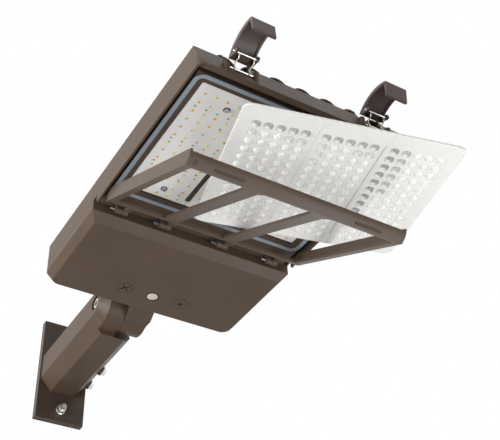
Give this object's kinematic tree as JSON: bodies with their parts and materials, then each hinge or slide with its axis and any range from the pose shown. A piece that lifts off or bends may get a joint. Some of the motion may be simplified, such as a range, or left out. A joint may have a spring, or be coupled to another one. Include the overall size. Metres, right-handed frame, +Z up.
{
  "type": "shoebox area light",
  "caption": "Shoebox area light for a pole, with a tilting finned head, hinged lens door and driver cover, draw latches and a slip-fitter arm on a pole plate",
  "frame": {"origin": "centre of the pole plate's back face, between the two pole studs", "axes": "+X to the right seen from the pole plate's front with the head level, -Y out along the arm to the head's front latches, +Z up"},
  "size_m": [0.41, 0.925, 0.2709],
  "materials": {
    "bronze_paint": "bronze powder coat",
    "dark_paint": "dark bronze powder coat",
    "steel": "plated",
    "board": "white solder mask",
    "chip": "phosphor",
    "seal": "soft",
    "black_seal": "soft",
    "lens": "clear moulded",
    "driver_case": "brushed",
    "black_plastic": "moulded",
    "cream_plastic": "moulded",
    "green_plated": "lacquered"
  },
  "bodies": {
    "mount": {"tenon_plate": "dark_paint", "plate_seal": "black_seal", "slip_fitter_arm": "bronze_paint", "arm_set_bolts": "steel", "pole_studs": "steel", "pole_washers": "steel", "pole_nuts": "steel", "knuckle_bolt": "steel", "knuckle_nut": "steel"},
    "head": {"housing": "bronze_paint", "knuckle_tongue": "bronze_paint", "tongue_screws": "steel", "wire_bushing": "black_seal", "light_board_left": "board", "light_board_middle": "board", "light_board_right": "board", "light_chips_left": "chip", "light_chips_middle": "chip", "light_chips_right": "chip", "board_screws": "steel", "compartment_gasket": "seal", "led_driver": "driver_case", "driver_screws": "steel", "surge_protector": "black_plastic", "terminal_block": "cream_plastic", "ground_screw": "green_plated", "latch_pins": "steel", "cover_hinge_pins": "steel", "door_hinge_pins": "steel", "door_springs": "steel"},
    "cover": {"driver_cover": "bronze_paint", "cover_gasket": "black_seal", "dial_switches": "black_plastic", "dial_seals": "seal", "vent_plug": "cream_plastic", "vent_ring": "black_seal"},
    "dial_left": {"selector_dial_left": "bronze_paint"},
    "dial_right": {"selector_dial_right": "bronze_paint"},
    "door": {"door_frame": "bronze_paint"},
    "lens": {"lens_panel": "lens"},
    "bail_left": {"latch_bail_left": "steel"},
    "lever_left": {"latch_lever_left": "dark_paint"},
    "bail_right": {"latch_bail_right": "steel"},
    "lever_right": {"latch_lever_right": "dark_paint"}
  },
  "joints": [
    {"name": "head_tilt", "type": "hinge", "parent": "mount", "child": "head", "pos_m": [0.023, -0.248, 0], "axis": [1, 0, 0], "range_deg": [-80, 45]},
    {"name": "cover_hinge", "type": "hinge", "parent": "head", "child": "cover", "pos_m": [0, -0.334, -0.0385], "axis": [1, 0, 0], "range_deg": [0, 80]},
    {"name": "dial_left_turn", "type": "hinge", "parent": "cover", "child": "dial_left", "pos_m": [-0.048, -0.382, -0.053], "axis": [0, 0, 1], "range_deg": [-90, 90]},
    {"name": "dial_right_turn", "type": "hinge", "parent": "cover", "child": "dial_right", "pos_m": [0.048, -0.382, -0.053], "axis": [0, 0, 1], "range_deg": [-60, 60]},
    {"name": "door_hinge", "type": "hinge", "parent": "head", "child": "door", "pos_m": [0, -0.529, -0.037], "axis": [1, 0, 0], "range_deg": [-26.58, 0]},
    {"name": "lens_slide", "type": "slide", "parent": "head", "child": "lens", "axis": [0, -1, 0], "range_m": [0, 0.3451]},
    {"name": "lever_left_swing", "type": "hinge", "parent": "bail_left", "child": "lever_left", "pos_m": [-0.104, -0.84675, -0.00539], "axis": [-1, 0, 0], "range_deg": [-144, 0]},
    {"name": "bail_left_swing", "type": "hinge", "parent": "head", "child": "bail_left", "pos_m": [-0.104, -0.8327, -0.021], "axis": [1, 0, 0], "range_deg": [-35.31, 0.01]},
    {"name": "lever_right_swing", "type": "hinge", "parent": "bail_right", "child": "lever_right", "pos_m": [0.104, -0.84057, -0.00153], "axis": [-1, 0, 0], "range_deg": [-113.1, 0]},
    {"name": "bail_right_swing", "type": "hinge", "parent": "head", "child": "bail_right", "pos_m": [0.104, -0.8327, -0.021], "axis": [1, 0, 0], "range_deg": [-15.31, 0.01]}
  ],
  "couplings": [
    {"joint": "lens_slide", "follows": "door_hinge", "m_per_rad": -0.7437},
    {"joint": "bail_left_swing", "follows": "lever_left_swing", "ratio": 0.24514},
    {"joint": "bail_right_swing", "follows": "lever_right_swing", "ratio": 0.13528}
  ]
}
